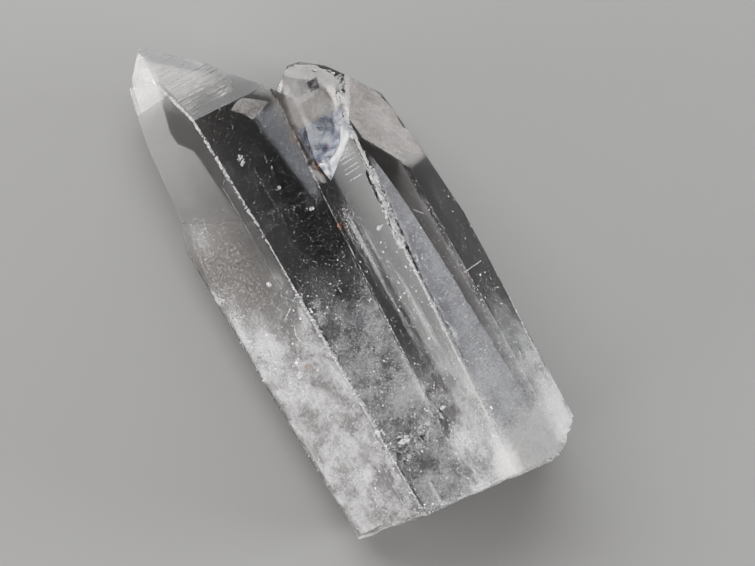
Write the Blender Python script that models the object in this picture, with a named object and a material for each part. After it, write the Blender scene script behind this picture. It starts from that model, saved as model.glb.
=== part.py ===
"""A lemurian quartz crystal: two points grown side by side as one piece, lying on its broad back.

x runs across the crystal, y along it towards the tips and z up from the floor.
A face is given by its turn about the length (0 looks up, 90 to the right), its tilt
towards the tips, both in degrees, and a corner in millimetres that it passes through.
"""

import math
import random

import bmesh
import bpy
from mathutils import Matrix, Vector, noise

MM = 0.001

# Middle of the footprint, measured from the left crystal's working corner, in mm
FOOTPRINT_X = 1.98
FOOTPRINT_Y = 50.25

# Corners of the left crystal, in mm
LEFT_RIDGE = (-9.1, 45, 18.7)
LEFT_RIDGE_TOP = (-10.0, 83.6, 18.7)
LEFT_BRUISE = (-12.1, 93.3, 14.0)
LEFT_APEX = (-11.3, 100.4, 10.4)
LEFT_SHOULDER = (-16.15, 94.9, 8.5)
LEFT_FLANK = (-20.3, 45, 4.6)
LEFT_NOTCH = (4.3, 82.8, 19.1)
LEFT_UNDER = 1.0

LEFT_FACES = {
    "front": (0, 0, LEFT_RIDGE),
    "upper left": (-52, -1.1, LEFT_RIDGE),
    "upper left steep": (-52, 7, LEFT_RIDGE_TOP),
    "flank": (-98, 5.4, (-19.3, 69.6, 5.2)),
    "flank steep": (-98, 11.8, (-18.1, 84.4, 6.4)),
    "lower left": (-120, -1.2, LEFT_FLANK),
    "back": (180, 0, (0, 0, LEFT_UNDER)),
    "right": (60, 0, (5.0, 45, 18.7)),
    "lower right": (120, 0, (8.5, 45, 5)),
    "front tip": (1.2, 26, LEFT_RIDGE_TOP),
    "left tip": (-48.3, 21.6, LEFT_BRUISE),
    "flank tip": (-98, 42.8, LEFT_SHOULDER),
    "right tip": (82, 39.5, LEFT_NOTCH),
    "right tip end": (82, 47.4, (-3.0, 92.3, 14.6)),
    "back tip": (180, 42, LEFT_APEX),
    "back right tip": (120, 45, (-8.5, 98, 6)),
}

# A later growth layer over the lower two thirds of the left crystal
LAYER_RIDGE = (-9.05, 45, 18.9)
LAYER_FACES = {
    "front": (0, 0, LAYER_RIDGE),
    "upper left": (-51, -1.1, LAYER_RIDGE),
    "flank": (-98, -2.4, (-21.4, 58, 4)),
    "lower left": (-120, -1.2, (-20.4, 45, 4.0)),
    "back": (180, 0, (0, 0, 1.4)),
    "right": (60, 0, (4.6, 45, 18.7)),
    "lower right": (120, 0, (8.0, 45, 5)),
    "front end": (0, 62, (-5, 62.7, 18.9)),
    "flank end": (-98, 20, (-21.3, 63.8, 4)),
}

# Corners of the right crystal, in mm
RIGHT_RIDGE = (10.2, 50, 31.5)
RIGHT_EDGE = (17.6, 57.4, 31.5)
RIGHT_FLANK = (23.9, 50, 20.3)
RIGHT_SHOULDER = (18.5, 77.8, 15.6)
RIGHT_TOP = (10.5, 84.8, 12.0)

RIGHT_FACES = {
    "front": (0, 0, RIGHT_RIDGE),
    "upper left": (-60, 3.3, RIGHT_RIDGE),
    "upper left low": (-60, 1.7, RIGHT_RIDGE),
    "upper right": (52, 0, RIGHT_EDGE),
    "flank": (84, -1.2, RIGHT_FLANK),
    "flank upper": (82, 4.9, (22.95, 57.6, 20.3)),
    "lower right": (120, 0, (25.2, 40, 9)),
    "back": (180, 0, (0, 0, 0)),
    "lower left": (-120, 0, (-3, 0, 0)),
    "right tip": (50, 25.1, RIGHT_EDGE),
    "right break": (82, 33.5, (22.3, 72.0, 16)),
    "right break high": (82, 51, (15.75, 81.8, 15)),
    "shoulder break": (32, 50, RIGHT_SHOULDER),
    "crown": (70, 81, RIGHT_TOP),
    "left break": (-98, 49, (10.0, 84.8, 14.4)),
    "back tip": (180, 40, (10, 84.8, 6)),
}

# The shell-shaped break in the top of the right crystal, as an ellipsoid with ripples
BOWL_CENTRE = (6.0, 80.0, 24.0)
BOWL_RADII = (9.5, 14.5, 11.0)
BOWL_RIPPLE = 0.22
BOWL_RIPPLE_LENGTH = 2.9
BOWL_STRUCK_AT = (10.5, 79, 22)
BOWL_TAIL_CENTRE = (4.4, 67.8, 22.4)
BOWL_TAIL_RADII = (3.0, 6.0, 3.8)

# The rough broken base
BASE_LOWEST_X = 15.5
BASE_LEFT_RISE = 0.10
BASE_RIGHT_RISE = 0.68
BASE_DEPTH_SLOPE = 0.04
BASE_LUMP = 1.3
BASE_GRAIN = 0.45
BASE_CELLS = (38, 26)
BASE_ROUGH_END = -6

# Chips along the ridges: start, end, how many, smallest and largest size in mm
RIGHT_RIDGE_CHIPS = ((9.0, 12, 31.6), (11.7, 66, 31.6), 34, 0.3, 0.75)
RIGHT_RIDGE_SCAR = ((9.9, 48, 31.2), (10.9, 60, 31.2), 8, 0.8, 1.35)
LEFT_RIDGE_CHIPS = ((-8.2, 8, 18.9), (-9.5, 61, 18.9), 16, 0.2, 0.42)
LEFT_UPPER_CHIPS = ((-9.6, 64, 18.75), (-10.0, 83, 18.75), 8, 0.2, 0.36)
LEFT_TIP_CHIPS = ((-10.2, 84.2, 18.55), (-12.0, 92.4, 14.65), 5, 0.25, 0.45)
LEFT_TIP_BRUISE = ((-12.6, 92.8, 14.4), (-12.2, 96.4, 13.0), 4, 0.5, 0.8)
FLANK_CHIPS = ((23.2, 16, 24.0), (23.6, 57, 24.0), 14, 0.25, 0.7)
BREAK_CHIPS = ((11.6, 84.8, 10.4), (18.4, 78.3, 15.8), 6, 0.4, 0.8)
CHIP_SEED = 17

# Growth steps across the faces: heights along y in mm, then how far across, width and depth
TIP_STEPS = (84.6, 85.2, 85.9, 86.4, 87.1, 87.9, 88.4, 89.3, 90.1, 90.7, 91.8, 92.6, 93.9)
TIP_STEP_ACROSS = (-10.6, 0.5)
CHIP_STEPS = (60.6, 61.9, 62.7, 63.8, 64.5, 65.6)
CHIP_STEP_ACROSS = (8.0, 10.9)
STEP_WIDTH = 0.3
STEP_DEPTH = 0.035


def place(corner):
    """A corner, as a point measured from the middle of the footprint."""
    x, y, z = corner
    return Vector((x - FOOTPRINT_X, y - FOOTPRINT_Y, z))


def facing(turn, tilt):
    """The outward normal of a face."""
    turn, tilt = math.radians(turn), math.radians(tilt)
    across = math.cos(tilt)
    return Vector((across * math.sin(turn), math.sin(tilt), across * math.cos(turn)))


def add_object(name, mesh, helper=True):
    """Puts a mesh in millimetres in the scene, as a hidden helper unless told otherwise."""
    bmesh.ops.recalc_face_normals(mesh, faces=mesh.faces)
    data = bpy.data.meshes.new(name)
    mesh.to_mesh(data)
    mesh.free()
    made = bpy.data.objects.new(name, data)
    made.scale = (MM, MM, MM)
    bpy.context.scene.collection.objects.link(made)
    if helper:
        made.hide_render = True
        made.display_type = "WIRE"
    return made


def cut_flat(mesh, point, normal):
    """Cuts away all that lies outside a plane, and closes the cut."""
    everything = [*mesh.verts, *mesh.edges, *mesh.faces]
    cut = bmesh.ops.bisect_plane(
        mesh, geom=everything, dist=1e-4, plane_co=point, plane_no=normal, clear_outer=True
    )
    rim = [item for item in cut["geom_cut"] if isinstance(item, bmesh.types.BMEdge)]
    if len(rim) > 2:
        bmesh.ops.contextual_create(mesh, geom=rim)


def crystal(name, faces, helper=True):
    """A block cut to the given faces."""
    mesh = bmesh.new()
    bmesh.ops.create_cube(mesh, size=300)
    cut_flat(mesh, place((0, BASE_ROUGH_END, 0)), facing(0, -90))
    for turn, tilt, corner in faces.values():
        cut_flat(mesh, place(corner), facing(turn, tilt))
    return add_object(name, mesh, helper)


def combine(target, other, operation):
    """Joins or cuts the target with another object."""
    change = target.modifiers.new(other.name, "BOOLEAN")
    change.operation = operation
    change.solver = "EXACT"
    change.object = other


def bowl():
    """The shell-shaped break: an ellipsoid whose surface ripples round the point that was struck."""
    mesh = bmesh.new()
    bmesh.ops.create_icosphere(mesh, subdivisions=5, radius=1)
    struck = place(BOWL_STRUCK_AT)
    for vert in mesh.verts:
        outwards = vert.co.copy()
        reach = Vector([a * b for a, b in zip(outwards, BOWL_RADII)])
        spot = place(BOWL_CENTRE) + reach
        away = (spot - struck).length
        ripple = math.sin(2 * math.pi * away / BOWL_RIPPLE_LENGTH)
        ripple += 1.2 * noise.noise(spot * 0.26)
        vert.co = spot + outwards * BOWL_RIPPLE * ripple
    return add_object("bowl", mesh)


def bowl_tail():
    """The narrow end of the break, running down the valley between the crystals."""
    mesh = bmesh.new()
    scale = Matrix.Diagonal(BOWL_TAIL_RADII).to_4x4()
    where = Matrix.Translation(place(BOWL_TAIL_CENTRE))
    bmesh.ops.create_icosphere(mesh, subdivisions=3, radius=1, matrix=where @ scale)
    return add_object("bowl_tail", mesh)


def base_height(x, z):
    """Where the broken base lies along y, in mm, over a spot on it."""
    if x < BASE_LOWEST_X:
        height = (BASE_LOWEST_X - x) * BASE_LEFT_RISE
    else:
        height = (x - BASE_LOWEST_X) * BASE_RIGHT_RISE
    height += abs(z - 14) * BASE_DEPTH_SLOPE
    lump = noise.noise(Vector((x * 0.13, z * 0.13, 4.0)))
    grain = noise.noise(Vector((x * 0.6, z * 0.6, 9.0)))
    return height + max(0, lump + 0.1) * BASE_LUMP + (grain + 0.3) * BASE_GRAIN


def base_cutter():
    """A slab under the crystal whose upper side is the rough break."""
    mesh = bmesh.new()
    across, deep = BASE_CELLS
    flat = Matrix.Rotation(math.radians(90), 4, "X")
    bmesh.ops.create_grid(mesh, x_segments=across, y_segments=deep, size=1, matrix=flat)
    floor = bmesh.ops.extrude_face_region(mesh, geom=mesh.faces[:])
    lower = {item for item in floor["geom"] if isinstance(item, bmesh.types.BMVert)}
    for vert in mesh.verts:
        x = 2 + vert.co.x * 30
        z = 15.5 + vert.co.z * 21
        y = -20 if vert in lower else base_height(x, z)
        vert.co = place((x, y, z))
    return add_object("base_cutter", mesh)


def chip(mesh, chance, spot, size):
    """One rough flake at a spot, longer along the ridge, to be broken away."""
    turn = Matrix.Rotation(chance.uniform(-0.5, 0.5), 4, chance.choice("XYZ"))
    long = chance.uniform(1.0, 1.9)
    shape = (size * chance.uniform(0.6, 1.1), size * long, size * chance.uniform(0.6, 1.1))
    where = Matrix.Translation(place(spot)) @ turn @ Matrix.Diagonal(shape).to_4x4()
    made = bmesh.ops.create_icosphere(mesh, subdivisions=1, radius=1, matrix=where)
    for vert in made["verts"]:
        vert.co += Vector([chance.uniform(-0.22, 0.22) * size for _ in range(3)])


def chips(turn):
    """Every fourth of the small breaks along the ridges, so that those of one set stay apart."""
    mesh = bmesh.new()
    chance = random.Random(CHIP_SEED + turn)
    rows = (
        RIGHT_RIDGE_CHIPS,
        LEFT_RIDGE_CHIPS,
        LEFT_UPPER_CHIPS,
        LEFT_TIP_CHIPS,
        FLANK_CHIPS,
        BREAK_CHIPS,
        RIGHT_RIDGE_SCAR,
        LEFT_TIP_BRUISE,
    )
    for row, (start, end, count, smallest, largest) in enumerate(rows):
        scar = row > 5
        for number in range(count):
            along = (number + chance.uniform(0.3, 0.7)) / count
            spot = Vector(start).lerp(Vector(end), along)
            size = chance.uniform(smallest, largest)
            spot += Vector([chance.uniform(-0.3, 0.3) * size for _ in range(3)])
            if number % 2 + 2 * scar == turn:
                chip(mesh, chance, spot, size)
    return add_object(f"chips_{turn}", mesh)


def step(mesh, left, right, turn, tilt):
    """One shallow groove from left to right across a face."""
    start, end = place(left), place(right)
    along = (end - start).normalized()
    up = facing(turn, tilt)
    side = up.cross(along)
    frame = Matrix((side * STEP_WIDTH / 2, up * STEP_DEPTH, end - start)).transposed()
    where = Matrix.Translation((start + end) / 2) @ frame.to_4x4()
    bmesh.ops.create_cone(
        mesh, segments=4, radius1=1, radius2=1, depth=1, cap_ends=True, matrix=where
    )


def face_height(faces, name, x, y):
    """How high a face lies over a spot, in mm."""
    turn, tilt, corner = faces[name]
    normal = facing(turn, tilt)
    rest = normal.x * (x - corner[0]) + normal.y * (y - corner[1])
    return corner[2] - rest / normal.z


def steps():
    """The growth steps that cross the faces."""
    mesh = bmesh.new()
    chance = random.Random(CHIP_SEED + 1)
    rows = (
        (LEFT_FACES, "front tip", TIP_STEPS, TIP_STEP_ACROSS),
        (RIGHT_FACES, "upper left", CHIP_STEPS, CHIP_STEP_ACROSS),
    )
    for faces, name, heights, (left, right) in rows:
        turn, tilt, _ = faces[name]
        for y in heights:
            a = left + chance.uniform(-0.2, 0.4)
            b = right - chance.uniform(0, 0.35) * (right - left)
            start = (a, y, face_height(faces, name, a, y))
            end = (b, y, face_height(faces, name, b, y))
            step(mesh, start, end, turn, tilt)
    return add_object("steps", mesh)


def quartz():
    """The look of clear quartz, for a plain view of the solid."""
    look = bpy.data.materials.new("clear_quartz")
    look.use_nodes = True
    shader = look.node_tree.nodes["Principled BSDF"]
    shader.inputs["Base Color"].default_value = (0.93, 0.94, 0.95, 1)
    shader.inputs["Roughness"].default_value = 0.03
    shader.inputs["IOR"].default_value = 1.544
    shader.inputs["Transmission Weight"].default_value = 1
    return look


def build():
    for old in list(bpy.data.objects):
        bpy.data.objects.remove(old)
    right = crystal("right_crystal", RIGHT_FACES)
    combine(right, bowl(), "DIFFERENCE")
    combine(right, bowl_tail(), "DIFFERENCE")
    whole = crystal("quartz_crystal", LEFT_FACES, helper=False)
    combine(whole, crystal("growth_layer", LAYER_FACES), "UNION")
    combine(whole, right, "UNION")
    combine(whole, steps(), "DIFFERENCE")
    for turn in range(4):
        combine(whole, chips(turn), "DIFFERENCE")
    combine(whole, base_cutter(), "DIFFERENCE")
    whole.data.materials.append(quartz())


build()
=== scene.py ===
import math
import random

import bmesh
import bpy
from mathutils import Matrix, Quaternion, Vector, noise
from mathutils.bvhtree import BVHTree


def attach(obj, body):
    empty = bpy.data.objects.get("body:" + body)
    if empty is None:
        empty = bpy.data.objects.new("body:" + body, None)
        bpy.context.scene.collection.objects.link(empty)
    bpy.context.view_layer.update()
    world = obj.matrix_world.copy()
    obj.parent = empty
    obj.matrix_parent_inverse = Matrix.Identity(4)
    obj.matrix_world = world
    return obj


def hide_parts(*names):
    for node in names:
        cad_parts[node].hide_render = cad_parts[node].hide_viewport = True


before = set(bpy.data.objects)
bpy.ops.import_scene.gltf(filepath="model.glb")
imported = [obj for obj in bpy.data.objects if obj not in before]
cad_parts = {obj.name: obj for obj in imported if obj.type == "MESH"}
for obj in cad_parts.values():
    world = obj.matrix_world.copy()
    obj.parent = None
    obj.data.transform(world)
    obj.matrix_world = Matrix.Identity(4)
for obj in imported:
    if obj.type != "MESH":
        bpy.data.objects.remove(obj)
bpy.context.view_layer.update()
print("frame loaded")

# The crystal is looked at from 8 degrees off straight above. A place in the lists below is (across, along)
# in millimetres on that picture, along from the broken base to the tips.
sight = {"tilt": math.radians(8), "lean": math.radians(29.2), "middleX": 1.98, "middleY": 50.25, "level": 20,
         "above": 60}
towards = Vector((-math.sin(sight["tilt"]), 0, math.cos(sight["tilt"])))
across = Vector((math.cos(sight["tilt"]), 0, math.sin(sight["tilt"])))
bell = 0.6  # how much of a half width one standard deviation is


def feed(links, socket, value):
    if isinstance(value, bpy.types.NodeSocket):
        links.new(value, socket)
    else:
        socket.default_value = value


def newMaterial(name):
    mat = bpy.data.materials.new(name)
    mat.use_nodes = True
    nodes, links = mat.node_tree.nodes, mat.node_tree.links
    nodes.clear()
    out = nodes.new("ShaderNodeOutputMaterial")
    shader = nodes.new("ShaderNodeBsdfPrincipled")
    links.new(shader.outputs[0], out.inputs["Surface"])
    return mat, nodes, links, out, shader


def newGroup(name, inputs, outputs):
    group = bpy.data.node_groups.new(name, "ShaderNodeTree")
    for label, value in inputs.items():
        group.interface.new_socket(label, in_out="INPUT", socket_type="NodeSocketFloat").default_value = value
    for label in outputs:
        group.interface.new_socket(label, in_out="OUTPUT", socket_type="NodeSocketFloat")
    start = group.nodes.new("NodeGroupInput")
    end = group.nodes.new("NodeGroupOutput")
    return group, group.nodes, group.links, start, end


def addGroup(nodes, group, values=None):
    node = nodes.new("ShaderNodeGroup")
    node.node_tree = group
    for label, value in (values or {}).items():
        node.inputs[label].default_value = value
    return node


def mathNode(nodes, links, operation, *values):
    node = nodes.new("ShaderNodeMath")
    node.operation = operation
    for socket, value in zip(node.inputs, values):
        feed(links, socket, value)
    return node.outputs[0]


def mapRange(nodes, links, value, fromMin, fromMax, toMin=0.0, toMax=1.0, smooth=False):
    node = nodes.new("ShaderNodeMapRange")
    if smooth:
        node.interpolation_type = "SMOOTHSTEP"
    ends = {"From Min": fromMin, "From Max": fromMax, "To Min": toMin, "To Max": toMax}
    for label, number in ends.items():
        node.inputs[label].default_value = number
    links.new(value, node.inputs[0])
    return node.outputs[0]


def noiseNode(nodes, links, vector, scale, detail=2.0, roughness=0.5):
    node = nodes.new("ShaderNodeTexNoise")
    node.inputs["Detail"].default_value = detail
    node.inputs["Roughness"].default_value = roughness
    feed(links, node.inputs["Scale"], scale)
    links.new(vector, node.inputs["Vector"])
    return node.outputs["Fac"]


def squeezed(nodes, links, vector, scale):
    node = nodes.new("ShaderNodeMapping")
    node.inputs["Scale"].default_value = scale
    links.new(vector, node.inputs[0])
    return node.outputs[0]


def mixColour(nodes, links, share, first, second):
    node = nodes.new("ShaderNodeMix")
    node.data_type = "RGBA"
    node.inputs[6].default_value = (*first, 1)
    node.inputs[7].default_value = (*second, 1)
    links.new(share, node.inputs[0])
    return node.outputs[2]


# growth lines across the length, and fine etched grain: used on every glass face
growth = {"squeeze": (0.06, 1, 0.06), "lineDetail": 3, "grainDetail": 4,
          "inputs": {"Line Spacing": 900.0, "Grain Scale": 2500.0, "Grain Share": 0.4}}


def growthLines():
    group, nodes, links, start, end = newGroup("growthLines", growth["inputs"], ("Height", "Grain"))
    place = nodes.new("ShaderNodeTexCoord").outputs["Object"]
    flat = squeezed(nodes, links, place, growth["squeeze"])
    lines = noiseNode(nodes, links, flat, start.outputs["Line Spacing"], growth["lineDetail"])
    grain = noiseNode(nodes, links, place, start.outputs["Grain Scale"], growth["grainDetail"])
    share = mathNode(nodes, links, "MULTIPLY", grain, start.outputs["Grain Share"])
    links.new(mathNode(nodes, links, "ADD", lines, share), end.inputs["Height"])
    links.new(grain, end.inputs["Grain"])
    return group


# where the faces carry an etched sheen: left of a line beside the left ridge, fading towards the base
etch = {
    "fade": (0.011, 0.04), "base": 0.04, "elsewhere": 0.03, "edge": (-0.0001, 0.0003),
    # the line's ends along the crystal, and how far across its 0 and its 1 stand
    "along": (0.0095, 0.0435), "across": (-0.01518, -0.00718),
    "line": ((0.0, 0.62), (0.37, 0.5), (0.57, 0.42), (0.65, 0.17), (0.72, 0.15), (0.96, 0.4)),
}


def etchMask():
    group, nodes, links, _, end = newGroup("etchMask", {}, ("Mask",))
    parts = nodes.new("ShaderNodeSeparateXYZ")
    links.new(nodes.new("ShaderNodeTexCoord").outputs["Object"], parts.inputs[0])
    x, y, z = parts.outputs
    raised = mathNode(nodes, links, "MULTIPLY", z, across.z)
    seen = mathNode(nodes, links, "MULTIPLY_ADD", x, across.x, raised)
    line = nodes.new("ShaderNodeFloatCurve")
    points = line.mapping.curves[0].points
    for number, (along, value) in enumerate(etch["line"]):
        point = points[number] if number < 2 else points.new(along, value)
        point.location = (along, value)
        point.handle_type = "VECTOR"
    line.mapping.update()
    links.new(mapRange(nodes, links, y, *etch["along"]), line.inputs["Value"])
    stands = mapRange(nodes, links, line.outputs[0], 0, 1, *etch["across"])
    gap = mathNode(nodes, links, "SUBTRACT", stands, seen)
    left = mapRange(nodes, links, gap, *etch["edge"], etch["elsewhere"])
    fade = mapRange(nodes, links, y, *etch["fade"], etch["base"])
    links.new(mathNode(nodes, links, "MULTIPLY", left, fade), end.inputs["Mask"])
    return group


lineGroup = growthLines()
etchGroup = etchMask()
glass = {
    "tint": (0.88, 0.88, 0.885), "ior": 1.544, "lampShareIn": 0.01, "lampShareOut": 0.95,
    "coatRoughness": 0.38, "dullRange": (0.45, 0.75), "sheenRange": (0.3, 0.7), "leastSheen": 0.6,
    "bumpDepth": 0.0002,
    # lowest roughness, what grain adds to it, bump strength, line spacing, share of grain in the bump,
    # etched sheen
    "finishes": {
        "clearQuartz": (0.0, 0.05, 0.1, 1400, 0.5, 0.85),
        "brokenQuartz": (0.12, 0.2, 0.5, 500, 2.0, 0.3),
        "shellQuartz": (0.02, 0.06, 0.12, 700, 0.8, 0.3),
        "linedQuartz": (0.01, 0.06, 0.7, 2600, 0.2, 0.4),
    },
}


def glassMaterial(name):
    roughness, grainRoughness, bumpStrength, lineSpacing, grainShare, coat = glass["finishes"][name]
    mat, nodes, links, out, shader = newMaterial(name)
    shader.inputs["Base Color"].default_value = (*glass["tint"], 1)
    shader.inputs["IOR"].default_value = glass["ior"]
    shader.inputs["Transmission Weight"].default_value = 1
    shader.inputs["Coat Roughness"].default_value = glass["coatRoughness"]
    surface = addGroup(nodes, lineGroup, {"Line Spacing": lineSpacing, "Grain Share": grainShare})
    grain = surface.outputs["Grain"]
    dull = mapRange(nodes, links, grain, *glass["dullRange"], roughness, roughness + grainRoughness)
    links.new(dull, shader.inputs["Roughness"])
    sheen = mapRange(nodes, links, grain, *glass["sheenRange"], glass["leastSheen"] * coat, coat)
    mask = addGroup(nodes, etchGroup).outputs["Mask"]
    links.new(mathNode(nodes, links, "MULTIPLY", sheen, mask), shader.inputs["Coat Weight"])
    bump = nodes.new("ShaderNodeBump")
    bump.inputs["Strength"].default_value = bumpStrength
    bump.inputs["Distance"].default_value = glass["bumpDepth"]
    links.new(surface.outputs["Height"], bump.inputs["Height"])
    links.new(bump.outputs[0], shader.inputs["Normal"])
    # lamps reach the flaws inside with nearly all of their light, and the floor behind with little of it
    through = nodes.new("ShaderNodeBsdfTransparent")
    side = nodes.new("ShaderNodeNewGeometry").outputs["Backfacing"]
    shares = mixColour(nodes, links, side, [glass["lampShareIn"]] * 3, [glass["lampShareOut"]] * 3)
    links.new(shares, through.inputs["Color"])
    path = nodes.new("ShaderNodeLightPath")
    mix = nodes.new("ShaderNodeMixShader")
    links.new(path.outputs["Is Shadow Ray"], mix.inputs[0])
    links.new(shader.outputs[0], mix.inputs[1])
    links.new(through.outputs[0], mix.inputs[2])
    links.new(mix.outputs[0], out.inputs["Surface"])
    return mat


def addMesh(name, bm, materials, smooth=False):
    mesh = bpy.data.meshes.new(name)
    bm.to_mesh(mesh)
    bm.free()
    mesh.polygons.foreach_set("use_smooth", [smooth] * len(mesh.polygons))
    for mat in materials:
        mesh.materials.append(mat)
    made = bpy.data.objects.new(name, mesh)
    bpy.context.scene.collection.objects.link(made)
    return made


def addPiece(name, bm, materials, smooth=False):
    piece = addMesh(name, bm, materials, smooth)
    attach(piece, "root")
    return piece


# the glass skin: the CAD's own faces, with the fractured and the lined ones split off for their own finish
skin = {"baseEnd": 6.0, "baseTurn": -0.35, "breakMiddle": (6, 80, 24), "breakReach": (9.9, 15.0, 11.5),
        "linedFrom": 83.0, "linedTo": 5, "linedTurn": 0.25, "weld": 1e-6, "past": 1e-5, "leastUnder": 0.0003}


def finishOf(face):
    middle = face.calc_center_median()
    x, y, z = middle.x * 1000 + sight["middleX"], middle.y * 1000 + sight["middleY"], middle.z * 1000
    if y < skin["baseEnd"] and face.normal.y < skin["baseTurn"]:
        return 1
    offset = [(a - b) / c for a, b, c in zip((x, y, z), skin["breakMiddle"], skin["breakReach"])]
    if sum(part * part for part in offset) < 1 and face.normal.z > 0 and x > 0:
        return 2
    lined = y > skin["linedFrom"] and x < skin["linedTo"] and face.normal.y > skin["linedTurn"]
    return 3 if lined else 0


def makeSkin():
    bm = bmesh.new()
    bm.from_mesh(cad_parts["quartz_crystal"].data)
    bmesh.ops.remove_doubles(bm, verts=bm.verts, dist=skin["weld"])
    bm.normal_update()
    tree = BVHTree.FromBMesh(bm)
    for face in bm.faces:
        face.material_index = finishOf(face)
    piece = addPiece("quartz_skin", bm, [glassMaterial(name) for name in glass["finishes"]])
    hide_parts("quartz_crystal")
    return tree


skinTree = makeSkin()
print("skin made")


# the place a depth in millimetres under the skin, as seen from the camera's side; None where there is no room
def underSkin(u, y, depth):
    level = Vector((-sight["middleX"], y - sight["middleY"], sight["level"])) / 1000
    start = level + across * (u / 1000) + towards * (sight["above"] / 1000)
    top = skinTree.ray_cast(start, -towards)[0]
    if top is None:
        return None
    back = skinTree.ray_cast(top - towards * skin["past"], -towards)[0]
    if back is None or depth / 1000 > (back - top).length - skin["leastUnder"]:
        return None
    return top - towards * (depth / 1000)


def anyTurn(rand):
    return Quaternion([rand.gauss(0, 1) for _ in range(4)]).normalized().to_matrix()


# flaws are flat flakes: colour, how much of it is left in the darker patches, roughness, metallic
flaws = {
    "patchScale": 900, "stretch": (0.5, 1.4), "tries": 4, "wisp": (0.8, 2.1, 3), "wispRange": (-1.2, 1.0),
    "wispShare": 1.4,
    "milkyVeil": ((0.93, 0.94, 0.96), 0.75, 0.6, 0.0),
    "bruiseWhite": ((0.98, 0.98, 0.985), 0.8, 0.35, 0.0),
    "brightFlaw": ((0.98, 0.98, 0.98), 0.9, 0.36, 0.8),
    "ironStain": ((0.5, 0.19, 0.07), 0.5, 0.6, 0.0),
}


def flawMaterial(name):
    colour, darker, roughness, metallic = flaws[name]
    mat, nodes, links, _, shader = newMaterial(name)
    place = nodes.new("ShaderNodeTexCoord").outputs["Object"]
    patch = noiseNode(nodes, links, place, flaws["patchScale"])
    shade = mixColour(nodes, links, patch, [darker * part for part in colour], colour)
    links.new(shade, shader.inputs["Base Color"])
    shader.inputs["Roughness"].default_value = roughness
    shader.inputs["Metallic"].default_value = metallic
    return mat


def addFlakes(name, flakes, rand, material):
    bm = bmesh.new()
    side = math.ceil(math.sqrt(len(flakes)))
    bmesh.ops.create_grid(bm, x_segments=side, y_segments=side, size=side / 2)
    bmesh.ops.split_edges(bm, edges=bm.edges)
    cells = list(bm.faces)
    for face, (place, size) in zip(cells, flakes):
        middle = face.calc_center_median()
        turn = anyTurn(rand)
        sunk = place - towards * (size / 1000)  # no corner comes out of the face above it
        for vert in face.verts:
            corner = (vert.co - middle) * (size / 1000 * rand.uniform(*flaws["stretch"]))
            vert.co = sunk + turn @ corner
    bmesh.ops.delete(bm, geom=cells[len(flakes):], context="FACES")
    addPiece(name, bm, [material])
    print(name, len(flakes))


# places and sizes for flakes, in wisps where patchiness is high
def scatter(rand, pick, count, depths, patchiness, patchScale, sizes):
    places = []
    for _ in range(count * flaws["tries"]):
        if len(places) >= count:
            break
        place = underSkin(*pick(), rand.uniform(*depths))
        if place is None:
            continue
        wisp = noise.fractal(place * patchScale, *flaws["wisp"])
        if wisp > rand.uniform(*flaws["wispRange"]) * patchiness * flaws["wispShare"]:
            places.append(place)
    return [(place, rand.uniform(*sizes)) for place in places]


milk = flawMaterial("milkyVeil")

# milky clouds of minute bubbles: (across, along, half width, half length, flakes, depth from and to,
# patchiness)
clouds = {
    "seeds": {"left": 5, "right": 6}, "flake": (0.03, 0.13), "patchScale": 210.0,
    "left": (
        (-18.7, 42.6, 1.2, 1.6, 3600, 0.2, 1.6, 0.4), (-21.3, 46.0, 0.6, 4.5, 2800, 0.2, 1.4, 0.5),
        (-21.2, 37.6, 0.6, 1.5, 1500, 0.2, 1.2, 0.3), (-18.0, 34.4, 0.6, 0.7, 900, 0.2, 1.0, 0.1),
        (-22.2, 54.0, 0.5, 1.6, 800, 0.2, 0.9, 0.3), (-20.5, 50.0, 1.6, 6.0, 1200, 0.3, 2.5, 0.9),
        (-7.6, 42.2, 0.7, 1.0, 900, 0.15, 0.8, 0.3), (-6.9, 44.6, 0.8, 0.8, 300, 0.15, 0.8, 0.5),
        (-16.5, 38.0, 4.0, 8.0, 1800, 0.3, 4.0, 0.9), (-15.0, 18.0, 6.0, 12.0, 3000, 0.4, 6.0, 0.9),
        (-19.5, 65.0, 2.2, 3.4, 900, 0.15, 1.2, 0.9), (-8.5, 16.5, 2.2, 2.6, 1200, 0.3, 2.0, 0.7),
        (-4.0, 28.0, 4.0, 9.0, 1500, 0.3, 5.0, 0.9),
    ),
    "right": (
        (14.0, 6.5, 8.5, 4.5, 12000, 0.2, 8.0, 0.4), (20.5, 9.0, 2.6, 4.0, 6000, 0.15, 4.0, 0.3),
        (5.8, 53.0, 1.2, 5.0, 700, 0.3, 2.0, 0.8), (14.3, 36.0, 1.5, 14.0, 1300, 0.1, 1.2, 0.7),
        (13.0, 21.0, 2.6, 4.0, 1500, 0.2, 2.4, 0.6), (8.0, 12.0, 3.0, 4.0, 2200, 0.2, 3.0, 0.6),
    ),
}


def makeClouds(name, seed):
    rand = random.Random(seed)
    flakes = []
    for u, y, halfWidth, halfLength, count, *depths, patchiness in clouds[name]:
        def pick():
            return rand.gauss(u, halfWidth * bell), rand.gauss(y, halfLength * bell)
        flakes += scatter(rand, pick, count, depths, patchiness, clouds["patchScale"], clouds["flake"])
    addFlakes("milky_cloud_" + name, flakes, rand, milk)


for cloudName, cloudSeed in clouds["seeds"].items():
    makeClouds(cloudName, cloudSeed)

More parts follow.
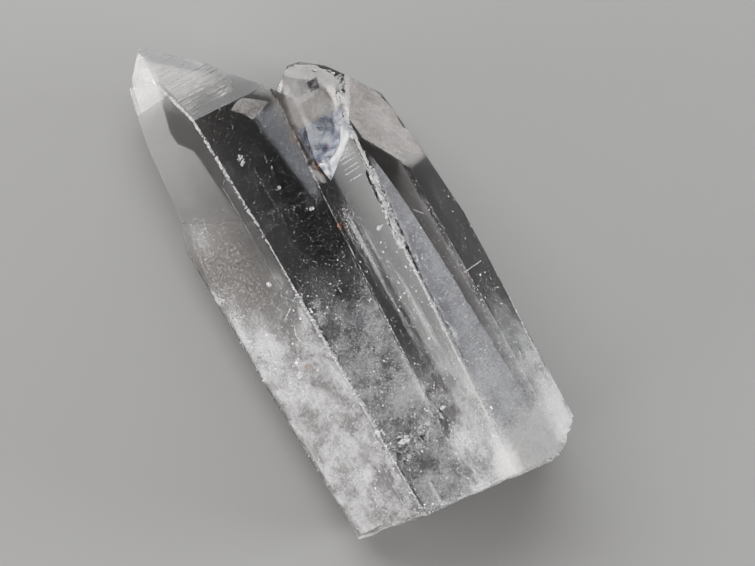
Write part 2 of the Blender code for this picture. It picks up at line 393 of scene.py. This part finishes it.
# bruised ridges and fine cracks: (from across, along, to across, along, half width, flakes, depth from and to,
# flake sizes, patchiness)
ridges = {
    "seed": 11, "patchScale": 420,
    "lines": (
        (-8.3, 4.0, -9.2, 62.0, 0.09, 1500, 0.02, 0.25, (0.05, 0.22), 1.2),
        (-8.3, 20.0, -9.0, 48.0, 0.3, 420, 0.05, 0.4, (0.1, 0.36), 1.2),
        (-9.2, 62.0, -10.1, 83.6, 0.14, 620, 0.02, 0.25, (0.06, 0.3), 1.35),
        (-10.1, 83.6, -12.8, 93.3, 0.16, 420, 0.02, 0.2, (0.06, 0.26), 0.9),
        (9.6, 8.0, 11.4, 47.0, 0.18, 1500, 0.02, 0.4, (0.06, 0.24), 1.3),
        (11.3, 46.0, 12.9, 61.0, 0.42, 2400, 0.02, 0.6, (0.06, 0.28), 1.0),
        (12.7, 60.0, 13.3, 67.0, 0.2, 700, 0.02, 0.4, (0.06, 0.24), 0.9),
        (13.2, 66.7, 13.0, 69.4, 0.3, 520, 0.02, 0.4, (0.06, 0.26), 0.7),
        (13.0, 69.4, 14.6, 72.3, 0.35, 600, 0.02, 0.4, (0.06, 0.26), 0.7),
        (14.6, 72.3, 17.6, 78.0, 0.45, 1100, 0.02, 0.5, (0.06, 0.28), 0.8),
        (14.3, 73.5, 15.8, 78.6, 0.7, 1100, 0.02, 0.4, (0.06, 0.26), 0.8),
        (10.3, 80.5, 13.1, 80.2, 0.08, 60, 0.02, 0.2, (0.06, 0.18), 0.3),
        (12.5, 78.0, 13.1, 80.2, 0.08, 60, 0.02, 0.2, (0.06, 0.18), 0.3),
        (9.3, 84.3, 15.6, 80.0, 0.16, 320, 0.02, 0.3, (0.08, 0.3), 1.0),
        (24.2, 57.0, 24.4, 44.0, 0.2, 420, 0.1, 0.6, (0.1, 0.4), 1.0),
        (24.2, 44.0, 22.4, 14.0, 0.1, 420, 0.1, 0.5, (0.06, 0.2), 1.0),
        (4.6, 80.0, 3.6, 61.5, 0.08, 260, 0.02, 0.25, (0.05, 0.18), 0.9),
        (3.6, 61.5, 1.7, 11.8, 0.06, 620, 0.02, 0.2, (0.04, 0.14), 0.8),
        (18.4, 37.0, 22.0, 37.3, 0.08, 120, 0.1, 0.25, (0.06, 0.18), 0.6),
        (-12.2, 43.4, -12.9, 41.4, 0.06, 90, 0.1, 0.2, (0.06, 0.16), 0.6),
        (-12.9, 41.4, -12.2, 39.2, 0.06, 90, 0.1, 0.2, (0.06, 0.16), 0.6),
        (-11.2, 46.4, -13.6, 44.8, 0.05, 60, 0.1, 0.2, (0.05, 0.14), 0.6),
        (16.0, 50.8, 17.2, 49.4, 0.07, 70, 0.1, 0.2, (0.06, 0.16), 0.6),
    ),
    # the small frosted facet beside the tip
    "facet": {"across": (-14.9, -12.2), "along": (93.6, 97.0), "flakes": 260, "depths": (0.05, 0.3),
              "sizes": (0.08, 0.25), "patchiness": 0.2, "patchScale": 900},
    # the chipped rim of the broken base
    "rim": {"across": (-2.0, 23.5), "from": -5.0, "to": 10, "step": 0.15, "in": 0.15, "spread": 0.4,
            "flakes": 1500, "depths": (0.12, 0.4), "sizes": (0.06, 0.26), "patchiness": 0.6},
}


def makeRidges():
    rand = random.Random(ridges["seed"])
    facet, rim = ridges["facet"], ridges["rim"]
    flakes = []
    for u, y, toU, toY, halfWidth, count, *depths, sizes, patchiness in ridges["lines"]:
        def onLine():
            share = rand.random()
            return u + share * (toU - u) + rand.gauss(0, halfWidth * bell), y + share * (toY - y)
        flakes += scatter(rand, onLine, count, depths, patchiness, ridges["patchScale"], sizes)

    def onFacet():
        return rand.uniform(*facet["across"]), rand.uniform(*facet["along"])
    flakes += scatter(rand, onFacet, facet["flakes"], facet["depths"], facet["patchiness"],
                      facet["patchScale"], facet["sizes"])

    def onRim():
        u, y = rand.uniform(*rim["across"]), rim["from"]
        while y < rim["to"] and underSkin(u, y, 0.05) is None:
            y += rim["step"]
        return u, y + rim["in"] + abs(rand.gauss(0, rim["spread"]))
    flakes += scatter(rand, onRim, rim["flakes"], rim["depths"], rim["patchiness"],
                      ridges["patchScale"], rim["sizes"])
    addFlakes("ridge_bruises", flakes, rand, flawMaterial("bruiseWhite"))


makeRidges()

# etched specks just under the faces, denser towards the base: (from across, to across, from along, to along,
# flakes, flake sizes). Sparkles are (across, along, spread).
fineSpeck = (0.03, 0.12)
coarseSpeck = (0.09, 0.16)
specks = {
    "seed": 21, "depths": (0.03, 0.5), "crowding": 1.3, "patchiness": 0.5, "patchScale": 500,
    "zones": (
        (-9.5, 3.0, 60, 84, 1500, fineSpeck), (-9.0, 2.6, 35, 62, 1800, fineSpeck),
        (-9.0, 2.6, 8, 40, 1800, fineSpeck), (3, 10, 20, 62, 700, fineSpeck), (14, 24, 20, 66, 900, fineSpeck),
        (-21, -9, 10, 68, 1800, fineSpeck), (8, 24, 2, 25, 1200, fineSpeck), (-13, 2, 84, 94, 200, fineSpeck),
        (-9.5, 2.6, 34, 84, 420, coarseSpeck), (16, 23.5, 24, 60, 160, coarseSpeck),
    ),
    "sparkles": (
        (-18.7, 42.7, 1.8), (-20.8, 45.2, 1.2), (-21.8, 54.0, 0.8), (-21.0, 37.6, 1.0), (-20.6, 49.0, 0.9),
        (-18.4, 39.6, 0.9), (-17.6, 34.0, 0.9), (-8.2, 15.6, 1.2), (-9.4, 17.6, 0.9), (-1.6, 16.6, 1.2),
        (-6.1, 73.8, 0.45), (-6.3, 72.9, 0.3), (-15.0, 37.2, 0.6), (-15.9, 35.3, 0.5), (-17.9, 34.5, 0.9),
        (-7.2, 42.6, 0.6), (-12.5, 52.0, 0.3), (0.5, 60.0, 0.3), (-2.6, 66.0, 0.25), (9.5, 51.0, 0.35),
    ),
    "perSparkle": 60, "sparkleDepths": (0.1, 0.8), "sparkleSizes": (0.08, 0.3), "sparklePatchiness": 0.3,
    # bright flaws all through the lower half
    "bright": 2600, "brightAcross": (-22, 22), "brightTo": 50, "brightCrowding": 1.5,
    "brightDepths": (0.2, 9.0), "brightSizes": (0.07, 0.26), "brightPatchiness": 0.6, "brightScale": 200,
}


def makeSpecks():
    rand = random.Random(specks["seed"])
    flakes = []
    for fromU, toU, fromY, toY, count, sizes in specks["zones"]:
        def pick():
            return rand.uniform(fromU, toU), fromY + (toY - fromY) * rand.random() ** specks["crowding"]
        flakes += scatter(rand, pick, count, specks["depths"], specks["patchiness"],
                          specks["patchScale"], sizes)
    addFlakes("face_specks", flakes, rand, milk)


def makeSparkles():
    rand = random.Random(specks["seed"] + 1)
    flakes = []
    for u, y, spread in specks["sparkles"]:
        def glint():
            return rand.gauss(u, bell * spread), rand.gauss(y, bell * spread)
        flakes += scatter(rand, glint, specks["perSparkle"], specks["sparkleDepths"],
                          specks["sparklePatchiness"], specks["patchScale"], specks["sparkleSizes"])

    def lower():
        u = rand.uniform(*specks["brightAcross"])
        return u, specks["brightTo"] * rand.random() ** specks["brightCrowding"]
    flakes += scatter(rand, lower, specks["bright"], specks["brightDepths"], specks["brightPatchiness"],
                      specks["brightScale"], specks["brightSizes"])
    addFlakes("bright_flaws", flakes, rand, flawMaterial("brightFlaw"))


makeSpecks()
makeSparkles()

# iron stains: (across, along, spread)
stains = {
    "seed": 31, "flakes": 60, "depths": (0.03, 0.4), "sizes": (0.06, 0.2), "patchiness": 0.3, "patchScale": 500,
    "spots": ((22.0, 67.2, 0.5), (3.4, 55.0, 0.3), (-14.0, 36.0, 0.25), (6.6, 75.2, 0.35), (3.9, 72.2, 0.4),
              (5.3, 66.3, 0.35), (8.6, 68.2, 0.3), (6.0, 63.8, 0.25)),
}


def makeStains():
    rand = random.Random(stains["seed"])
    flakes = []
    for u, y, spread in stains["spots"]:
        def pick():
            return rand.gauss(u, spread), rand.gauss(y, spread)
        flakes += scatter(rand, pick, stains["flakes"], stains["depths"], stains["patchiness"],
                          stains["patchScale"], stains["sizes"])
    addFlakes("iron_stains", flakes, rand, flawMaterial("ironStain"))


makeStains()


# a grid laid under the skin; its points that find no room are left out
def laySheet(bm, cells, depth, placeOf):
    made = bmesh.ops.create_grid(bm, x_segments=cells[0], y_segments=cells[1], size=1, calc_uvs=True)
    lost = []
    for vert in made["verts"]:
        spot = underSkin(*placeOf((vert.co.x + 1) / 2, (vert.co.y + 1) / 2), depth)
        if spot is None:
            lost.append(vert)
        else:
            vert.co = spot
    bmesh.ops.delete(bm, geom=lost, context="VERTS")


# pale blue and white films in arcs under the shell-shaped break, narrowing to its point
films = {
    "struckAt": (10.5, 79, 22), "depths": (0.15, 0.5), "cells": (70, 70), "across": (5.2, 13.4),
    "along": (62.5, 73.5), "pointAt": 6.0, "pointLength": 5.5, "arcs": 3900.0, "bend": 1.6, "arcShare": 0.13,
    "broadScale": 260, "grainScale": 700, "cover": 2.0, "roughness": 0.3,
    "tones": ((0.3, (0.12, 0.135, 0.2)), (0.75, (0.56, 0.57, 0.61)), (0.52, (0.26, 0.285, 0.37))),
}


def filmMaterial():
    mat, nodes, links, _, shader = newMaterial("blueFilm")
    place = nodes.new("ShaderNodeTexCoord").outputs["Object"]
    centre = nodes.new("ShaderNodeMapping")
    x, y, z = films["struckAt"]
    struck = Vector((x - sight["middleX"], y - sight["middleY"], z)) / 1000
    centre.inputs["Location"].default_value = -struck
    links.new(place, centre.inputs[0])
    reach = nodes.new("ShaderNodeVectorMath")
    reach.operation = "LENGTH"
    links.new(centre.outputs[0], reach.inputs[0])
    broad = noiseNode(nodes, links, place, films["broadScale"])
    bent = mathNode(nodes, links, "MULTIPLY_ADD", broad, films["bend"] / 1000, reach.outputs["Value"])
    wave = mathNode(nodes, links, "SINE", mathNode(nodes, links, "MULTIPLY", bent, films["arcs"]))
    arcs = mathNode(nodes, links, "MULTIPLY_ADD", wave, films["arcShare"], broad)
    tone = nodes.new("ShaderNodeValToRGB")
    steps = tone.color_ramp.elements
    for number, (position, colour) in enumerate(films["tones"]):
        step = steps[number] if number < 2 else steps.new(position)
        step.position = position
        step.color = (*colour, 1)
    links.new(arcs, tone.inputs[0])
    links.new(tone.outputs[0], shader.inputs["Base Color"])
    shader.inputs["Roughness"].default_value = films["roughness"]
    grain = noiseNode(nodes, links, place, films["grainScale"])
    cover = mathNode(nodes, links, "MULTIPLY", arcs, grain)
    links.new(mathNode(nodes, links, "MULTIPLY", cover, films["cover"]), shader.inputs["Alpha"])
    return mat


def makeFilms():
    fromU, toU = films["across"]
    fromY, toY = films["along"]

    def placeOf(shareU, shareY):
        u = fromU + (toU - fromU) * shareU
        y = fromY + (toY - fromY) * shareY
        narrow = min(1, (y - fromY) / films["pointLength"])
        return films["pointAt"] + (u - films["pointAt"]) * narrow, y
    bm = bmesh.new()
    for depth in films["depths"]:
        laySheet(bm, films["cells"], depth, placeOf)
    addPiece("break_films", bm, [filmMaterial()], smooth=True)


makeFilms()
print("films made")

# Thin sheets under the faces: veils of minute bubbles, and a few painted lights and shades said at each. Rows are
# (along, from across, to across), base to tip. Soft is how far the edges thin out: left, right, base end, tip
# end, as shares of the width and the length. Spots are (across, along, reach, strength): a strength below 0
# leaves a clear gap.
warmWhite = (0.86, 0.82, 0.79)
milkWhite = (0.87, 0.88, 0.9)
veils = {
    "cells": (16, 60), "mistScale": 240, "mistDetail": 9, "mistRoughness": 0.7, "grainScale": 2100,
    "grainDetail": 4, "spotDepth": 0.5, "thinFrom": 0.3, "thinShift": 0.18, "thinTo": 0.72, "leastCover": 0.75,
    "mostCover": 1.25, "bubbleRange": (0.35, 0.65), "bubbleLess": 0.8, "bubbleMore": 0.7, "darker": 0.8,
    "roughness": 0.5,
}
sheets = {
    # painted light: a warm grey sheet that gives the right termination the light tone of a reflection
    "terminationPaintedLight": {
        "colour": (0.6, 0.55, 0.52), "cover": 0.55, "patchy": 0.3, "depths": (0.2,), "soft": (0, 0, 0.1, 0),
        "rows": ((57.5, 19.3, 22.8), (66.0, 14.4, 22.6), (70.0, 14.0, 22.0), (71.0, 14.3, 21.7),
                 (78.0, 17.6, 18.0))},
    # painted sheen: a blue-grey sheet that gives a light band of reflected sheen along the valley
    "valleyPaintedSheen": {
        "colour": (0.5, 0.52, 0.56), "cover": 0.4, "patchy": 0.15, "depths": (0.25,),
        "soft": (0.4, 0, 0.3, 0.1),
        "rows": ((58.0, 2.0, 3.0), (66.0, 0.5, 3.6), (73.0, -0.7, 4.0), (80.6, -1.8, 4.4))},
    # painted light: a warm white sheet that lights a small patch at the notch
    "notchPaintedLight": {
        "colour": warmWhite, "cover": 0.5, "patchy": 0.3, "depths": (0.25,), "soft": (0.15, 0.08, 0.1, 0),
        "rows": ((78.7, -0.9, -0.5), (80.2, -2.0, 3.3), (82.2, -3.7, 0.9), (83.1, -1.6, -0.7))},
    "bowlVeil": {
        "colour": warmWhite, "cover": 0.5, "patchy": 0.2, "depths": (0.2, 0.5), "soft": (0.1, 0, 0.2, 0),
        "spots": ((11.6, 79.2, 1.9, -0.6),),
        "rows": ((72.0, 5.0, 12.8), (75.0, 4.8, 14.0), (79.0, 5.2, 15.6), (82.5, 6.5, 13.5),
                 (84.2, 8.0, 10.5))},
    # painted light: a pale lavender sheet for the light band right of the right ridge
    "ridgePaintedLight": {
        "colour": (0.76, 0.77, 0.83), "cover": 0.34, "patchy": 0.3, "depths": (0.2, 0.9),
        "soft": (0, 0.1, 0.1, 0.1),
        "rows": ((10.0, 10.2, 18.0), (18.0, 10.6, 17.2), (40.0, 11.5, 16.3), (50.6, 12.7, 15.7),
                 (58.0, 13.3, 14.9), (64.0, 13.6, 14.0))},
    "tipVeil": {
        "colour": warmWhite, "cover": 0.8, "patchy": 0.95, "scale": 3600, "stretch": (0.04, 1, 0.04),
        "depths": (0.15,), "soft": (0, 0.35, 0.1, 0), "spots": ((-6.5, 85.6, 3.5, -0.12),),
        "rows": ((84.2, -9.8, 0.5), (88.0, -10.8, -1.5), (92.0, -11.8, -5.5), (96.5, -13.2, -11.4))},
    # painted light: a warm white sheet that makes the left edge of the tip glow
    "tipPaintedLight": {
        "colour": warmWhite, "cover": 0.6, "patchy": 0.3, "depths": (0.2,), "soft": (0, 0.3, 0.4, 0),
        "rows": ((88.5, -18.0, -12.6), (92.0, -17.4, -11.6), (95.5, -16.4, -10.6), (98.0, -15.4, -11.8),
                 (100.4, -14.6, -13.4))},
    "tipFacet": {
        "colour": (0.95, 0.94, 0.93), "cover": 0.85, "patchy": 0.4, "depths": (0.12,),
        "rows": ((93.0, -12.5, -12.1), (94.6, -14.4, -11.9), (95.6, -14.2, -11.6), (96.6, -14.1, -13.7))},
    "crestVeil": {
        "colour": (0.5, 0.45, 0.42), "cover": 0.5, "patchy": 0.8, "scale": 1500, "depths": (0.15,),
        "soft": (0.3, 0.2, 0.1, 0.1),
        "rows": ((62.4, 3.4, 4.9), (70.0, 2.9, 5.4), (79.4, 3.4, 5.8), (84.0, 4.4, 7.0))},
    "tipHaze": {
        "colour": warmWhite, "cover": 0.34, "patchy": 0.3, "depths": (0.3,), "soft": (0, 0.2, 0.4, 0),
        "rows": ((86.4, -10.2, 0.0), (90.0, -11.2, -3.0), (93.5, -12.2, -7.5), (97.0, -13.6, -11.6))},
    "frontLines": {
        "colour": (0.6, 0.63, 0.68), "cover": 0.1, "patchy": 0.9, "scale": 6500, "stretch": (0.03, 1, 0.03),
        "depths": (0.15,), "soft": (0, 0.3, 0.3, 0.3),
        "rows": ((36.0, -8.6, 2.4), (62.0, -9.0, 2.8), (72.0, -9.3, 1.0), (84.0, -9.8, -3.0))},
    "flankMilk": {
        "cover": 0.24, "patchy": 0.9, "depths": (0.3, 1.0, 2.2, 4.0), "fade": (36, 58),
        "spots": ((-18.7, 42.6, 4.0, 0.3), (-21.5, 46.0, 3.0, 0.25), (-15.0, 51.0, 6.0, -0.3),
                  (-17.0, 58.0, 5.0, -0.2), (-12.5, 45.0, 4.0, -0.25), (-11.5, 12.0, 3.5, -0.2),
                  (-19.0, 26.0, 5.0, -0.1), (-15.0, 19.0, 4.0, 0.12)),
        "rows": ((1.5, -18.8, -8.6), (15.0, -21.6, -8.7), (40.0, -23.0, -8.9), (62.0, -22.4, -9.3))},
    # brownish grain, and painted shade: a dark grainy sheet that also darkens the left flank
    "flankGrainAndShade": {
        "colour": (0.24, 0.2, 0.18), "cover": 0.5, "patchy": 0.95, "scale": 2600, "depths": (0.12,),
        "soft": (0, 0.4, 0.3, 0.3),
        "rows": ((44.0, -22.6, -10.6), (56.0, -22.6, -10.8), (70.0, -20.6, -12.4))},
    # painted shade: a dark sheet in the hollow of the break
    "pitPaintedShade": {
        "colour": (0.05, 0.05, 0.06), "cover": 0.75, "depths": (0.1,), "soft": (0.15, 0.15, 0.15, 0.15),
        "rows": ((78.1, 10.4, 12.4), (80.4, 10.7, 13.0))},
    "frontMilk": {
        "cover": 0.46, "patchy": 0.85, "depths": (0.5, 1.8, 4.0, 8.0), "fade": (22, 54),
        "spots": ((-4.2, 15.0, 4.2, -0.5), (-0.5, 36.0, 4.0, 0.12), (-7.6, 42.5, 2.2, 0.3),
                  (1.0, 22.0, 4.0, 0.15), (-6.0, 30.0, 3.0, -0.15), (-3.0, 22.0, 3.0, 0.1)),
        "rows": ((2.0, -8.0, 1.1), (15.0, -8.3, 1.8), (40.0, -8.6, 2.7), (56.0, -8.8, 3.3))},
    "innerMilk": {
        "cover": 0.3, "patchy": 0.9, "depths": (0.6, 3.0, 7.0), "fade": (8, 34),
        "spots": ((7.5, 34.0, 3.5, -0.3), (6.5, 22.0, 3.0, -0.2), (4.0, 12.0, 4.0, 0.2), (9.0, 8.0, 3.0, 0.3)),
        "rows": ((-2.0, 1.2, 9.4), (8.0, 1.7, 9.8), (22.0, 2.2, 10.3), (42.0, 2.9, 11.0))},
    "outerMilk": {
        "cover": 0.5, "patchy": 0.7, "depths": (0.4, 2.0, 5.0), "fade": (2, 36), "soft": (0, 0, 0, 0.2),
        "spots": ((20.0, 22.0, 3.0, -0.15), (14.0, 14.0, 4.0, 0.15), (19.0, 12.0, 3.0, -0.1)),
        "rows": ((-2.0, 9.6, 22.0), (8.0, 10.0, 23.0), (22.0, 10.8, 22.5), (42.0, 13.0, 20.0))},
    "baseMilk": {
        "colour": (0.94, 0.93, 0.92), "cover": 0.95, "patchy": 0.4, "depths": (0.35, 1.5), "fade": (4, 13),
        "soft": (0.3, 0, 0, 0.3), "rows": ((-3.0, 5.0, 22.0), (5.0, 6.0, 23.2), (14.0, 14.0, 22.8))},
    "innerWisps": {
        "cover": 0.24, "patchy": 0.95, "scale": 520, "stretch": (1, 0.07, 1), "depths": (0.8, 1.6),
        "soft": (0.3, 0.3, 0.4, 0.3), "rows": ((20.0, 5.0, 10.2), (40.0, 4.4, 9.4), (60.0, 3.8, 7.0))},
}


def veilMaterial(name, colour, cover, patchy, scale, stretch, fade, spots, soft):
    mat, nodes, links, _, shader = newMaterial(name)
    coordinates = nodes.new("ShaderNodeTexCoord")
    place = coordinates.outputs["Object"]
    pulled = squeezed(nodes, links, place, stretch)
    mist = noiseNode(nodes, links, pulled, scale, veils["mistDetail"], veils["mistRoughness"])
    amount = mist
    for u, y, reach, strength in spots:
        away = nodes.new("ShaderNodeVectorMath")
        away.operation = "DISTANCE"
        away.inputs[1].default_value = underSkin(u, y, veils["spotDepth"])
        links.new(place, away.inputs[0])
        spot = mapRange(nodes, links, away.outputs["Value"], 0, reach / 1000, strength, 0, smooth=True)
        amount = mathNode(nodes, links, "ADD", amount, spot)
    alpha = mapRange(nodes, links, amount, veils["thinFrom"] + veils["thinShift"] * patchy, veils["thinTo"],
                     veils["leastCover"] * cover * (1 - patchy), veils["mostCover"] * cover)
    grain = noiseNode(nodes, links, place, veils["grainScale"], veils["grainDetail"])
    bubbles = mapRange(nodes, links, grain, *veils["bubbleRange"], 1 - veils["bubbleLess"] * patchy,
                       1 + veils["bubbleMore"] * patchy)
    alpha = mathNode(nodes, links, "MULTIPLY", alpha, bubbles)
    if fade:
        parts = nodes.new("ShaderNodeSeparateXYZ")
        links.new(place, parts.inputs[0])
        ends = [(end - sight["middleY"]) / 1000 for end in fade]
        thinner = mapRange(nodes, links, parts.outputs["Y"], *ends, 1, 0, smooth=True)
        alpha = mathNode(nodes, links, "MULTIPLY", alpha, thinner)
    if any(soft):
        sheet = nodes.new("ShaderNodeSeparateXYZ")
        links.new(coordinates.outputs["UV"], sheet.inputs[0])
        for axis, edge, width in zip("XXYY", (0, 1, 0, 1), soft):
            if width:
                inner = edge + width * (1 - 2 * edge)
                rim = mapRange(nodes, links, sheet.outputs[axis], edge, inner, smooth=True)
                alpha = mathNode(nodes, links, "MULTIPLY", alpha, rim)
    links.new(alpha, shader.inputs["Alpha"])
    shade = mixColour(nodes, links, mist, [veils["darker"] * part for part in colour], colour)
    links.new(shade, shader.inputs["Base Color"])
    shader.inputs["Roughness"].default_value = veils["roughness"]
    return mat


def acrossAt(rows, y):
    for (y0, from0, to0), (y1, from1, to1) in zip(rows, rows[1:]):
        if y <= y1:
            share = (y - y0) / (y1 - y0)
            return from0 + share * (from1 - from0), to0 + share * (to1 - to0)
    return rows[-1][1:]


def makeVeil(name, rows, depths, cover, colour=milkWhite, patchy=0.0, scale=veils["mistScale"],
             stretch=(1, 1, 1), fade=None, spots=(), soft=(0, 0, 0, 0)):
    def placeOf(shareU, shareY):
        y = rows[0][0] + (rows[-1][0] - rows[0][0]) * shareY
        fromU, toU = acrossAt(rows, y)
        return fromU + (toU - fromU) * shareU, y
    bm = bmesh.new()
    bm.loops.layers.uv.new("sheet")
    for depth in depths:
        laySheet(bm, veils["cells"], depth, placeOf)
    mat = veilMaterial(name, colour, cover, patchy, scale, stretch, fade, spots, soft)
    addPiece(name, bm, [mat], smooth=True)


for sheetName, sheet in sheets.items():
    makeVeil(sheetName, **sheet)
print("veils made")

# angular crack faces that flash in the broken patch near the base, and in the break by the tip: (across, along,
# across spread, along spread, plates, depth from and to, plate size)
cracks = {
    "seed": 41, "patchScale": 1100, "metallic": 0.3, "roughness": 0.22, "dark": (0.03, 0.03, 0.035),
    "light": (0.98, 0.98, 0.98), "torn": (0.2, 0.35), "spread": 0.5, "sizes": (0.3, 1), "long": (0.6, 1.3),
    "wide": (0.2, 0.7), "corners": (3, 3, 4),
    "patches": ((-4.2, 15.2, 4.2, 2.4, 110, 0.3, 3.0, 1.6), (-8.0, 17.5, 2.0, 2.0, 34, 0.3, 2.0, 1.2),
                (1.8, 17.0, 2.6, 1.8, 30, 0.3, 2.5, 1.2), (-19.0, 42.0, 1.8, 3.5, 30, 0.3, 2.0, 1.1),
                (14.8, 76.0, 1.0, 1.6, 40, 0.15, 0.8, 1.3), (12.2, 72.5, 1.2, 2.0, 30, 0.2, 0.8, 1.0)),
}


def crackMaterial():
    mat, nodes, links, _, shader = newMaterial("crackFace")
    shader.inputs["Metallic"].default_value = cracks["metallic"]
    shader.inputs["Roughness"].default_value = cracks["roughness"]
    chips = nodes.new("ShaderNodeTexVoronoi")
    chips.inputs["Scale"].default_value = cracks["patchScale"]
    links.new(nodes.new("ShaderNodeTexCoord").outputs["Object"], chips.inputs["Vector"])
    parts = nodes.new("ShaderNodeSeparateColor")
    links.new(chips.outputs["Color"], parts.inputs[0])
    shade = mixColour(nodes, links, parts.outputs[0], cracks["dark"], cracks["light"])
    links.new(shade, shader.inputs["Base Color"])
    links.new(mapRange(nodes, links, parts.outputs[1], *cracks["torn"]), shader.inputs["Alpha"])
    return mat


def makeCracks():
    rand = random.Random(cracks["seed"])
    bm = bmesh.new()
    for u, y, acrossSpread, alongSpread, count, shallow, deep, size in cracks["patches"]:
        for _ in range(count):
            place = underSkin(rand.gauss(u, acrossSpread * cracks["spread"]),
                              rand.gauss(y, alongSpread * cracks["spread"]), rand.uniform(shallow, deep))
            if place is None:
                continue
            reach = size * rand.uniform(*cracks["sizes"]) / 1000
            corners = rand.choice(cracks["corners"])
            made = bmesh.ops.create_circle(bm, cap_ends=True, segments=corners, radius=reach)
            turn = anyTurn(rand)
            for vert in made["verts"]:
                long, wide = rand.uniform(*cracks["long"]), rand.uniform(*cracks["wide"])
                vert.co = place + turn @ Vector((vert.co.x * long, vert.co.y * wide, 0))
    addPiece("crack_faces", bm, [crackMaterial()])


makeCracks()
print("cracks made")

# floor, light and camera. Lamps are (place, size, watts, colour).
studio = {
    "floor": (0.42, 0.42, 0.415), "floorRoughness": 0.8, "floorSize": 1.5, "floorGap": 0.0001, "world": 0.04,
    "look": "AgX - Medium High Contrast", "lens": 150, "sensor": 36, "clipStart": 0.01, "reach": 0.556,
    "aim": (0.0023, -0.0075, 0.0206), "lampAim": (0, 0, 0.01),
    "lamps": {
        "keyLeft": ((-0.62, 0.1, 0.055), (0.55, 0.07), 11, (1, 0.955, 0.93)),
        "tipLight": ((0.08, 0.6, 0.42), (1.0, 0.8), 9, (1, 1, 1)),
        "fillRight": ((0.6, -0.35, 0.1), (0.4, 0.12), 7.5, (1, 1, 1)),
    },
}


def makeFloor():
    bm = bmesh.new()
    bmesh.ops.create_grid(bm, x_segments=1, y_segments=1, size=studio["floorSize"])
    bmesh.ops.translate(bm, verts=bm.verts, vec=(0, 0, -studio["floorGap"]))
    mat, _, _, _, paint = newMaterial("paleFloor")
    paint.inputs["Base Color"].default_value = (*studio["floor"], 1)
    paint.inputs["Roughness"].default_value = studio["floorRoughness"]
    addMesh("floor", bm, [mat])


def softbox(name, place, size, watts, colour):
    data = bpy.data.lights.new(name, "AREA")
    data.shape = "RECTANGLE"
    data.size, data.size_y = size
    data.energy = watts
    data.color = colour
    lamp = bpy.data.objects.new(name, data)
    bpy.context.scene.collection.objects.link(lamp)
    lamp.location = place
    lamp.rotation_euler = (Vector(studio["lampAim"]) - Vector(place)).to_track_quat("-Z", "Y").to_euler()


def makeStudio():
    makeFloor()
    world = bpy.data.worlds.new("studioWorld")
    world.use_nodes = True
    world.node_tree.nodes["Background"].inputs[0].default_value = (*[studio["world"]] * 3, 1)
    bpy.context.scene.world = world
    for name, values in studio["lamps"].items():
        softbox(name, *values)
    bpy.context.scene.view_settings.look = studio["look"]
    cycles = bpy.context.scene.cycles
    cycles.max_bounces = 24
    cycles.transmission_bounces = 20
    cycles.glossy_bounces = 12
    cycles.transparent_max_bounces = 24
    cycles.caustics_refractive = False  # the shadow under the crystal stays dark and free of grain
    cycles.caustics_reflective = False


def makeCamera():
    lean = sight["lean"]
    along = Vector((0, 1, 0))
    right = math.cos(lean) * across - math.sin(lean) * along
    up = math.sin(lean) * across + math.cos(lean) * along
    camera = bpy.data.objects.new("camera", bpy.data.cameras.new("camera"))
    bpy.context.scene.collection.objects.link(camera)
    turn = Matrix((right, up, towards)).transposed().to_4x4()
    camera.matrix_world = Matrix.Translation(Vector(studio["aim"]) + towards * studio["reach"]) @ turn
    camera.data.lens = studio["lens"]
    camera.data.sensor_width = studio["sensor"]
    camera.data.clip_start = studio["clipStart"]
    bpy.context.scene.camera = camera


makeStudio()
makeCamera()
print("studio ready")
